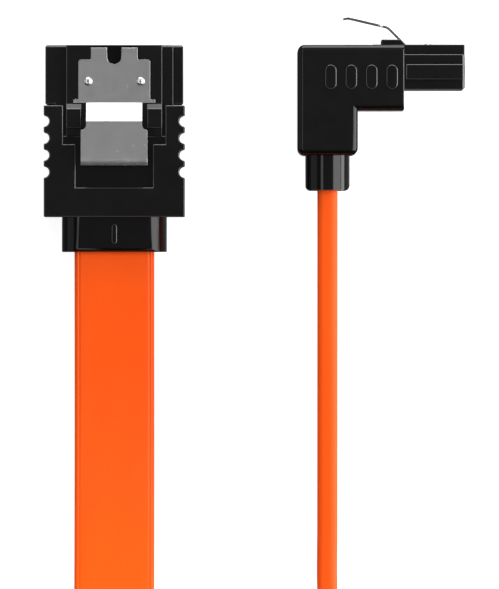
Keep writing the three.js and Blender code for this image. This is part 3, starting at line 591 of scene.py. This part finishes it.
def round_edges(made, rounding, shortest, room=ROOM, wanted=None, highlight=1.0):
    """Rounds the longer outer edges that are wanted, and leaves those whose ends have no room."""
    outer = {edge for edge in made.edges if edge.is_manifold and edge.is_convex
             and edge.calc_face_angle() > EDGE_ANGLE and edge.calc_length() > shortest}
    tight = {vert for edge in made.edges if edge not in outer and edge.calc_length() < room * rounding
             for vert in edge.verts}
    chosen = [edge for edge in made.edges if edge in outer and tight.isdisjoint(edge.verts)
              and (not wanted or wanted(edge))]
    rounds = bmesh.ops.bevel(made, geom=chosen, offset=rounding, offset_type="OFFSET",
                             segments=ROUND_STEPS, profile=0.5, affect="EDGES", clamp_overlap=False)
    # the new rounds are marked for a painted highlight of the given strength
    mark_faces(made, rounds["faces"], highlight)
    return len(chosen)


def mark_faces(made, faces, amount=1.0):
    """Marks faces with an amount of painted highlight, or with SHEARED as cut, for the finishes to
    read.
    """
    layer = made.faces.layers.float[HIGHLIGHT_LAYER]
    for face in faces:
        face[layer] = amount


def piece_from(name, made):
    mesh = bpy.data.meshes.new(name)
    made.to_mesh(mesh)
    made.free()
    return linked(name, mesh)


def plain_copy(piece, name):
    """The piece as it looks with its modifiers, as one plain mesh. The first object goes."""
    seen = piece.evaluated_get(bpy.context.evaluated_depsgraph_get())
    mesh = bpy.data.meshes.new_from_object(seen)
    mesh.name = name
    bpy.data.objects.remove(piece)
    return linked(name, mesh)


# %% [markdown]
# ## Flats that stay flat
#
# Smooth shading over a rounded mesh bends the light on the big flat faces, because each corner's
# normal is an average. Here each corner takes an average that is weighed by area, and only of the
# faces that lean nearly as its own face does. The large faces decide, so flats stay flat and only
# the rounds turn. The limit lies between one step of a round, 30 degrees, and the slopes of the
# bosses, 45 degrees.

# %% Normals for rounded pieces
SMOOTH_BELOW = 35  # degrees between faces that are shaded as one


def flats_stay_flat(piece, degrees):
    """Each corner's normal is the mean of the faces there that lean nearly as its own, by area."""
    mesh, limit = piece.data, math.cos(math.radians(degrees))
    around = [[] for _ in mesh.vertices]
    for face in mesh.polygons:
        for vert in face.vertices:
            around[vert].append((face.normal.copy(), face.area))
    normals = []
    for face in mesh.polygons:
        for vert in face.vertices:
            leaning = [normal * area for normal, area in around[vert]
                       if normal.dot(face.normal) > limit]
            normals.append(sum(leaning, Vector()).normalized())
    mesh.shade_smooth()
    mesh.normals_split_custom_set(normals)


def moulded(name, node, rounding, shortest, changes=(), wanted=None):
    """A solid as a moulding: merged, changed where it needs it, rounded and shaded. Sizes in mm."""
    made = merged_copy(node)
    for change in changes:
        change(made)
    count = round_edges(made, rounding * MM, shortest * MM, wanted=wanted)
    piece = piece_from(name, made)
    flats_stay_flat(piece, SMOOTH_BELOW)
    print(f"{name}: {count} edges rounded, {len(piece.data.polygons)} faces")
    return piece


# %% [markdown]
# ## Where the two plugs lie
#
# Both plugs are the same inside, so each is described once in a frame of its own: x across the
# plug, y = 0 at the mating face and falling towards the cable, z = 0 at the top of the nose on the
# latch side. One matrix lays the straight plug on its back, and another turns the right-angle plug
# onto its side.

# %% The frames of the plugs
def moved_to(x, y, z):
    """Takes millimetres from an origin at (x, y, z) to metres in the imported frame."""
    return Matrix.Translation(Vector((x, y, z)) * MM) @ Matrix.Scale(MM, 4)


ANGLED_TURN = Matrix(((0, 1, 0, 0), (0, 0, 1, 0), (1, 0, 0, 0), (0, 0, 0, 1)))
STRAIGHT_PLACE = moved_to(-13.95, 8.995, 6.0)
ANGLED_PLACE = moved_to(21.0, 8.945, 7.2) @ ANGLED_TURN
straight_place_back, angled_place_back = STRAIGHT_PLACE.inverted(), ANGLED_PLACE.inverted()

# %% [markdown]
# ## Shells and noses
#
# Three places need a change before their edges are rounded. The inner moulding touches the end of
# the insulator on the real plug, where the solids keep a small gap for the fit check, so its front
# face is moved up to the insulator. The raised pills on the elbow and the raised mark on the
# straight collar are taken off and their places closed, because a later cell makes them again with
# soft rims.
#
# The nose is rounded only on its outside, because the walls of its latch pocket are too thin for
# rounds. The two noses are one shape, so the right-angle plug has a turned copy of the straight
# plug's.

# %% The mouldings
INSULATOR_END = -9.1
CORE_FRONT = -9.2
SEAM = 0.005  # what stays open, so that the two faces don't share a plane
NEAR = 0.02
ELBOW_FLAT = 7.05  # flat side of the elbow, from the middle
COLLAR_TOP = -0.55
RAISED = 0.01  # what stands out further than this is raised
MARK_SIDE, MARK_START = 0.5, -17.5
NOSE_SIDE, MATING_FACE, NOSE_TOP = 4.7, -0.02, 0.02


def close_seam(back):
    """Moves the front face of an inner moulding up to the insulator."""
    def change(made):
        for vert in made.verts:
            place = back @ vert.co
            if abs(place.y - CORE_FRONT) < NEAR:
                vert.co = back.inverted() @ Vector((place.x, INSULATOR_END - SEAM, place.z))
    return change


def without(raised):
    """Takes off what stands on a flat face, and closes the holes."""
    def change(made):
        proud = [face for face in made.faces if raised(face.calc_center_median())]
        bmesh.ops.delete(made, geom=proud, context="FACES")
        bmesh.ops.holes_fill(made, edges=[edge for edge in made.edges if edge.is_boundary], sides=0)
        bmesh.ops.dissolve_limit(made, angle_limit=FLAT, verts=made.verts, edges=made.edges)
        print("taken off:", len(proud), "faces")
    return change


def is_pill(point):
    return abs((angled_place_back @ point).x) > ELBOW_FLAT + RAISED


def is_mark(point):
    x, y, z = straight_place_back @ point
    return abs(x) < MARK_SIDE and y < MARK_START and z > COLLAR_TOP + RAISED


def is_outside(edge):
    """True for the nose's edges on its sides, its mating face and its bosses."""
    places = [straight_place_back @ vert.co for vert in edge.verts]
    return all(abs(x) > NOSE_SIDE or y > MATING_FACE or z > NOSE_TOP for x, y, z in places)


def turned_copy(piece, name):
    """The straight plug's piece again, turned to its place in the right-angle plug."""
    mesh = piece.data.copy()
    mesh.name = name
    mesh.transform(ANGLED_PLACE @ straight_place_back)
    copy = linked(name, mesh)
    flats_stay_flat(copy, SMOOTH_BELOW)
    return copy


straight_shell = moulded("straight_grip_shell", "straight_grip", rounding=0.1, shortest=0.2)
straight_nose = moulded("straight_nose", "straight_insulator", rounding=0.07, shortest=0.3,
                        wanted=is_outside)
straight_collar = moulded("straight_collar_mould", "straight_inner_mould", rounding=0.09, shortest=0.12,
                          changes=[close_seam(straight_place_back), without(is_mark)])
angled_shell = moulded("angled_elbow_shell", "angled_elbow_grip", rounding=0.1, shortest=0.3,
                       changes=[without(is_pill)])
angled_nose = turned_copy(straight_nose, "angled_nose")
angled_collar = moulded("angled_collar_mould", "angled_inner_mould", rounding=0.09, shortest=0.12,
                        changes=[close_seam(angled_place_back)])

# %% [markdown]
# ## Geometry Nodes for what repeats
#
# Contacts and the raised pills on the elbow are rows of one shape at one pitch. A Geometry Nodes
# tree says that once: its inputs are the sizes, and changing one number changes the whole row. The
# tree is built here, its inputs are set by their identifiers before anything is evaluated, and it
# ends by realising its instances and setting a material, because an exported mesh keeps neither
# instances nor modifiers. The result is then turned into a plain mesh.

# %% A recipe of Geometry Nodes
class Recipe(Graph):
    """A Geometry Nodes tree with one named input for each size."""

    def __init__(self, name, **sizes):
        super().__init__(bpy.data.node_groups.new(name, "GeometryNodeTree"))
        for way in ("INPUT", "OUTPUT"):
            self.tree.interface.new_socket("Geometry", in_out=way, socket_type="NodeSocketGeometry")
        self.identifiers, self.sizes = {}, sizes
        for size, value in sizes.items():
            kind = "NodeSocketInt" if isinstance(value, int) else "NodeSocketFloat"
            socket = self.tree.interface.new_socket(size, in_out="INPUT", socket_type=kind)
            self.identifiers[size] = socket.identifier
        self.inputs = self.tree.nodes.new("NodeGroupInput")

    def given(self, name):
        return Value(self, self.inputs.outputs[name])

    def vector(self, x=0.0, y=0.0, z=0.0):
        return self.node("ShaderNodeCombineXYZ", sockets={"X": x, "Y": y, "Z": z})

    def stored(self, geometry, name, number):
        """Keeps a number on every face of the mesh."""
        settings = {"data_type": "FLOAT", "domain": "FACE"}
        return self.node("GeometryNodeStoreNamedAttribute", settings,
                         {"Geometry": geometry, "Name": name, "Value": number})

    def moved(self, geometry, offset):
        sockets = {"Geometry": geometry, "Translation": offset}
        return self.node("GeometryNodeTransform", sockets=sockets)

    def joined(self, parts):
        made = self.tree.nodes.new("GeometryNodeJoinGeometry")
        for part in reversed(parts):
            self.tree.links.new(part.socket, made.inputs[0])
        return Value(self, made.outputs[0])

    def end(self, points, instance, material):
        """Sets one instance on each point, makes them real and gives them a material."""
        sockets = {"Points": points, "Instance": instance}
        row = self.node("GeometryNodeInstanceOnPoints", sockets=sockets)
        real = self.node("GeometryNodeRealizeInstances", sockets={0: row})
        painted = self.node("GeometryNodeSetMaterial", sockets={"Geometry": real, "Material": material})
        output = self.tree.nodes.new("NodeGroupOutput")
        self.tree.links.new(painted.socket, output.inputs[0])

    def carried_out(self, name, base):
        """The recipe's result on a base mesh, as a plain mesh object."""
        piece = linked(name + "_recipe", base)
        modifier = piece.modifiers.new("recipe", "NODES")
        modifier.node_group = self.tree
        for size, value in self.sizes.items():
            modifier[self.identifiers[size]] = value
        return plain_copy(piece, name)


# %% [markdown]
# ## The raised pills and the mark
#
# Each flat side of the elbow has four raised pills to grip it by, and the collar of the straight
# plug has one smaller mark. One pill is a stack of circles at both of its ends, shrinking towards
# the top to give a soft rim, with a convex hull drawn around them. The rim is marked for a painted
# highlight and a gloss coat, as the rounds are. The row stands on points along a line, and one
# matrix lays it on its face.

# %% The pills and the mark
PILL_LEVELS = (  # inset and height from the top
    (0.0, -0.22), (0.0, -0.08), (0.025, -0.03), (0.08, 0.0),
)
PILL_CORNERS = 28
PILL_SMOOTH = 60  # degrees between faces that are shaded as one
PILL_ROW_LEVEL = -3.26
LEANING, LYING = 0.2, 0.99  # the rim leans more than a wall and less than the flat top


def pill_recipe(material, **sizes):
    row = Recipe("pill row", **sizes)
    half = row.given("Width") * 0.5
    reach = row.given("Length") * 0.5 - half
    circles = []
    for way in (-1, 1):
        for inset, below in PILL_LEVELS:
            ring = row.node("GeometryNodeMeshCircle",
                            sockets={"Vertices": PILL_CORNERS, "Radius": half - inset})
            circles.append(row.moved(ring, row.vector(y=reach * way, z=row.given("Rise") + below)))
    pill = row.node("GeometryNodeConvexHull", sockets={0: row.joined(circles)})
    normal = row.node("GeometryNodeInputNormal")
    lean = row.node("ShaderNodeSeparateXYZ", sockets={0: normal}, out="Z")
    rim = lean.maths("GREATER_THAN", lean, LEANING) * lean.maths("LESS_THAN", lean, LYING)
    line = row.node("GeometryNodeMeshLine", {"mode": "OFFSET"},
                    {"Count": row.given("Count"), "Offset": row.vector(x=row.given("Pitch"))})
    # the rim faces are stored for a painted highlight and a gloss coat
    row.end(line, row.stored(pill, HIGHLIGHT_LAYER, rim), material)
    return row


def pill_row(name, recipe, place):
    piece = recipe.carried_out(name, bpy.data.meshes.new("nothing"))
    piece.data.transform(place)
    flats_stay_flat(piece, PILL_SMOOTH)
    print(f"{name}: {len(piece.data.polygons)} faces")
    return piece


def elbow_side(way, start):
    """Lays a row on the elbow's flat side that faces up (1) or down (-1) in the photograph."""
    across, along, level = (0, 0, way, way * ELBOW_FLAT), (way, 0, 0, start), (0, 1, 0, PILL_ROW_LEVEL)
    return ANGLED_PLACE @ Matrix((across, along, level, (0, 0, 0, 1)))


PILL_PITCH, FIRST_PILL = 2.03, -7.25
LAST_PILL = FIRST_PILL - 3 * PILL_PITCH
four_pills = pill_recipe(shell_black, Count=4, Pitch=PILL_PITCH, Width=1.14, Length=2.43, Rise=0.15)
upper_pills = pill_row("angled_pills_upper", four_pills, elbow_side(1, LAST_PILL))
lower_pills = pill_row("angled_pills_lower", four_pills, elbow_side(-1, FIRST_PILL))
one_mark = pill_recipe(collar_black, Count=1, Pitch=1.0, Width=0.54, Length=2.0, Rise=0.12)
mark_place = STRAIGHT_PLACE @ Matrix.Translation((0, -18.9, COLLAR_TOP))
mark = pill_row("straight_collar_mark", one_mark, mark_place)

# %% [markdown]
# ## The contacts
#
# Seven sprung contacts stand in each nose. A contact is a gold-plated strip: a flat solder tail, a
# root in its groove, and an arm that rises to a crest and dips at its tip, so that a board slides
# over it. The strip's middle line is a smooth curve through a few points, and the recipe gives it a
# section with soft edges and sets seven of them side by side.

# %% The contacts
CONTACT_LINE = [  # y and z in the frame of the plug, from the solder tail to the tip
    (-11.0, -3.46), (-8.0, -3.46), (-5.6, -3.46), (-4.9, -3.43), (-4.2, -3.3), (-3.4, -2.98),
    (-2.75, -2.72), (-2.3, -2.59), (-1.95, -2.56), (-1.6, -2.62), (-1.2, -2.86), (-0.77, -3.22),
]


def contact_recipe(material):
    row = Recipe("contact row", Count=7, Pitch=1.27, First=-4.11,
                 Width=0.6, Thickness=0.2, Rounding=0.05)
    line = row.node("GeometryNodeMeshToCurve", sockets={0: row.given("Geometry")})
    level = row.node("GeometryNodeSetCurveNormal", {"mode": "Z_UP"}, {0: line})
    sharp = row.node("GeometryNodeCurvePrimitiveQuadrilateral", sockets={
        "Width": row.given("Width"), "Height": row.given("Thickness")})
    soft = row.node("GeometryNodeFilletCurve", {"mode": "POLY"}, {
        "Curve": sharp, "Count": 3, "Radius": row.given("Rounding")})
    strip = row.node("GeometryNodeCurveToMesh", sockets={
        "Curve": level, "Profile Curve": soft, "Fill Caps": True})
    places = row.node("GeometryNodeMeshLine", {"mode": "OFFSET"}, {
        "Count": row.given("Count"), "Start Location": row.vector(x=row.given("First")),
        "Offset": row.vector(x=row.given("Pitch"))})
    row.end(places, strip, material)
    return row


def contact_line():
    """The middle line of one contact, as a mesh of edges."""
    points = catmull_rom(np.array([(0.0, y, z) for y, z in CONTACT_LINE]), 4)
    mesh = bpy.data.meshes.new("contact_line")
    mesh.from_pydata(points.tolist(), [(i, i + 1) for i in range(len(points) - 1)], [])
    return mesh


def contact_row(name, place):
    row = contact_recipe(gold_plate).carried_out(name, contact_line())
    row.data.transform(place)
    made = bmesh.new()
    made.from_mesh(row.data)
    bmesh.ops.recalc_face_normals(made, faces=made.faces)
    made.to_mesh(row.data)
    made.free()
    smooth_sweep(row)
    spans = [round(x / MM, 2) for x in row.dimensions]
    print(f"{name}: {len(row.data.polygons)} faces, spans {spans} mm")
    return row


straight_contacts = contact_row("straight_contact_row", STRAIGHT_PLACE)
angled_contacts = contact_row("angled_contact_row", ANGLED_PLACE)

# %% [markdown]
# ## The latches
#
# The latch is the piece that a user touches: one strip of spring steel, stamped and folded. Its
# prongs hook into the nose, the plate lies in a pocket, the ramp lifts the thumb tab clear of the
# grip, and two dimples catch in the socket. The solid already has the folds, so its copy only needs
# the soft edges that stamping leaves, and prong tips that are a little thinner, so that they clear
# the nose while the tab is pressed. The dimples get a flat crown and a steep rim, as a punch makes
# them, from a profile that is turned about its axis.

# %% The latches
DIMPLE_PROFILE = (  # radius and height, from the crown to the foot
    (0.13, 0.12), (0.2, 0.112), (0.27, 0.092), (0.33, 0.065), (0.38, 0.03), (0.415, -0.01),
    (0.44, -0.1),
)
DIMPLE_PLACES = ((-2.62, -3.64), (2.62, -3.64))
DIMPLE_SIDES = 32
LATCH_FRONT = -0.17  # front face of the prongs
TIP_LEVEL, TIP_TAPER = -0.5, 0.035
LATCH_ROUND = 0.02
# strength of the painted highlight on the latch's rounds
LATCH_HIGHLIGHT = 0.3
LATCH_SMOOTH = 12  # degrees between faces that are shaded as one
SIDEWAYS = 0.98  # a face that looks this nearly sideways was cut


def add_dimple(made, x, y, place):
    """A turned bump whose foot is inside the sheet."""
    rings = []
    for radius, height in DIMPLE_PROFILE:
        angles = [2 * math.pi * i / DIMPLE_SIDES for i in range(DIMPLE_SIDES)]
        spots = [Vector((x + radius * math.cos(angle), y + radius * math.sin(angle), height))
                 for angle in angles]
        rings.append([made.verts.new(place @ spot) for spot in spots])
    made.faces.new(rings[0])
    made.faces.new(rings[-1][::-1])
    # the rim faces get a full painted highlight
    for upper, lower in zip(rings, rings[1:]):
        for i in range(DIMPLE_SIDES):
            k = (i + 1) % DIMPLE_SIDES
            mark_faces(made, [made.faces.new((upper[k], upper[i], lower[i], lower[k]))])


def thin_the_tips(made, place):
    """Tapers the front of the prongs' tips, so that they clear the nose when the tab is pressed."""
    back = place.inverted()
    for vert in made.verts:
        x, y, z = back @ vert.co
        if z < TIP_LEVEL and y > LATCH_FRONT - MERGE / MM:
            vert.co = place @ Vector((x, y - TIP_TAPER, z))


def latch_spring(name, node, place):
    """A latch with thin tips, soft edges with a faint painted highlight, dull cut faces and two dimples
    whose rims have a painted highlight.
    """
    made = merged_copy(node)
    thin_the_tips(made, place)
    across = (place.to_3x3() @ Vector((1, 0, 0))).normalized()
    count = round_edges(made, LATCH_ROUND * MM, LATCH_ROUND * MM, room=0, highlight=LATCH_HIGHLIGHT)
    mark_faces(made, [face for face in made.faces if abs(face.normal.dot(across)) > SIDEWAYS], SHEARED)
    for x, y in DIMPLE_PLACES:
        add_dimple(made, x, y, place)
    piece = piece_from(name, made)
    flats_stay_flat(piece, LATCH_SMOOTH)
    print(f"{name}: {count} edges rounded, {len(piece.data.polygons)} faces")
    return piece


straight_latch = latch_spring("straight_latch_spring", "straight_latch", STRAIGHT_PLACE)
angled_latch = latch_spring("angled_latch_spring", "angled_latch", ANGLED_PLACE)

# %% [markdown]
# ## Which piece has which finish
#
# The two latches are stamped the same way round, so their rolling streaks run along the latch on
# both: along y on the straight plug and along x on the right-angle plug. The wire ends keep their
# plain solids, because they are small and mostly hidden, and only get a finish.

# %% Painting the pieces
def finished(piece, material):
    piece.data.materials.clear()
    piece.data.materials.append(material)
    return piece


for piece in (straight_shell, straight_nose, angled_shell, angled_nose):
    finished(piece, shell_black)
for piece in (straight_collar, angled_collar):
    finished(piece, collar_black)
finished(straight_latch, steel_along_y)
finished(angled_latch, steel_along_x)
finished(cable, jacket_orange)
finished(strap, strap_black)
for name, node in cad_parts.items():
    for word, material in (("core_wire", core_white), ("drain_wire", tinned_copper)):
        if word in name:
            finished(node, material)

# %% [markdown]
# ## What each piece rides on and stands for
#
# Each piece moves with one body of the imported model and hides the plain solid that it stands for.
# The latch springs ride on their own bodies, so they tip when their tabs are pressed.

# %% Bodies and hidden solids
def stands_for(piece, body, slot, *nodes):
    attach(piece, body)
    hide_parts(*nodes)


stands_for(straight_shell, "root", "black_shell", "straight_grip")
stands_for(straight_nose, "root", "black_shell", "straight_insulator")
stands_for(straight_collar, "root", "black_gloss", "straight_inner_mould")
stands_for(angled_shell, "root", "black_shell", "angled_elbow_grip")
stands_for(angled_nose, "root", "black_shell", "angled_insulator")
stands_for(angled_collar, "root", "black_gloss", "angled_inner_mould")
for row in (upper_pills, lower_pills):
    stands_for(row, "root", "black_shell", "angled_elbow_grip")
stands_for(mark, "root", "black_gloss", "straight_inner_mould")
for plug, row in (("straight", straight_contacts), ("angled", angled_contacts)):
    stands_for(row, "root", "contact_gilt", *[f"{plug}_contact_{i}" for i in range(1, 8)])
stands_for(straight_latch, "straight_latch", "latch_steel", "straight_latch")
stands_for(angled_latch, "angled_latch", "latch_steel", "angled_latch")
stands_for(cable, "root", "cable_orange", "cable_straight_run", "cable_angled_run", "cable_coil")
stands_for(strap, "root", "tie_strap", "coil_tie")

# %% [markdown]
# ## Table and light
#
# The photograph has a plain white background and no shadows. A pale floor that glows a little does
# nearly the same: it stays white, and only a faint shadow is left where a piece touches it. Glossy
# pieces don't reflect it, because the real table looks dark in the sides of the plugs.
#
# Five large soft lights face the plugs. Two on the right draw the bright lines on the edges, two on
# the left keep the other sides from going black, and the sloping part of the latch reflects the one
# beyond the noses. The world adds a soft light that is brighter on the right and beyond the noses,
# and dim behind the cables.

# %% The floor
FLOOR_HALF = 3.0
FLOOR_DROP = 0.02 * MM
GREY, WHITE = (0.45, 0.45, 0.45, 1), (1, 1, 1, 1)
floor_mesh = bpy.data.meshes.new("floor")
corners = [(FLOOR_HALF * x, FLOOR_HALF * y) for x, y in ((-1, -1), (1, -1), (1, 1), (-1, 1))]
floor_mesh.from_pydata([(x, y, -FLOOR_DROP) for x, y in corners], [], [(0, 1, 2, 3)])
floor = linked("floor", floor_mesh)
floor_finish = Finish("floor_white", Base_Color=GREY, Roughness=0.9, Specular_IOR_Level=0.0,
                      Emission_Color=WHITE, Emission_Strength=0.9)
finished(floor, floor_finish.material)
floor.visible_glossy = False


# %% The lights
AIM = Vector((0, 0, 0.005))  # the middle of the plugs
LIGHTS = [  # name, place, width, height and brightness
    ("key", (0.472, 0.0, 0.583), 0.64, 0.62, 4.2),
    ("right_wall", (0.73, 0.0, 0.16), 0.9, 0.32, 6.0),
    ("left_strip", (-0.2, 0.0, 0.73), 0.6, 0.16, 1.9),
    ("left_wall", (-0.7, 0.0, 0.3), 0.8, 0.6, 0.35),
    ("far_wall", (0.0, 0.8, 0.2), 1.0, 0.4, 2.8),
]


def soft_wall(name, place, width, height, brightness):
    """A large plain light that faces the plugs. The camera doesn't see it."""
    data = bpy.data.lights.new(name, "AREA")
    data.shape, data.size, data.size_y = "RECTANGLE", width, height
    data.energy = brightness * math.pi * width * height
    light = bpy.data.objects.new(name, data)
    bpy.context.scene.collection.objects.link(light)
    light.location = place
    facing = AIM - Vector(place)
    light.rotation_euler = facing.to_track_quat("-Z", "Y").to_euler()
    light.visible_camera = False


for light in LIGHTS:
    soft_wall(*light)
print("lights:", len(LIGHTS))

# %% The sky
world = bpy.data.worlds.new("studio")
world.use_nodes = True
bpy.context.scene.world = world
sky = Graph(world.node_tree)
towards = sky.node("ShaderNodeTexCoord", out="Generated")


def brighter(way, dim, bright, start=-0.45, end=0.45):
    """Goes from dim to bright along one direction of the sky."""
    part = sky.node("ShaderNodeSeparateXYZ", sockets={0: towards}, out=way)
    return sky.node("ShaderNodeMapRange", {"interpolation_type": "SMOOTHSTEP"}, {
        "Value": part, "From Min": start, "From Max": end, "To Min": dim, "To Max": bright})


soft_sky = brighter("Y", 0.02, 0.38) * brighter("X", 0.5, 1.5)
glow_ahead = brighter("Y", 0.0, 2.5, 0.8, 0.95)
background = world.node_tree.nodes["Background"]
sky.feed(background.inputs["Strength"], soft_sky + glow_ahead)
background.inputs["Color"].default_value = WHITE
bpy.context.scene.view_settings.view_transform = "Standard"
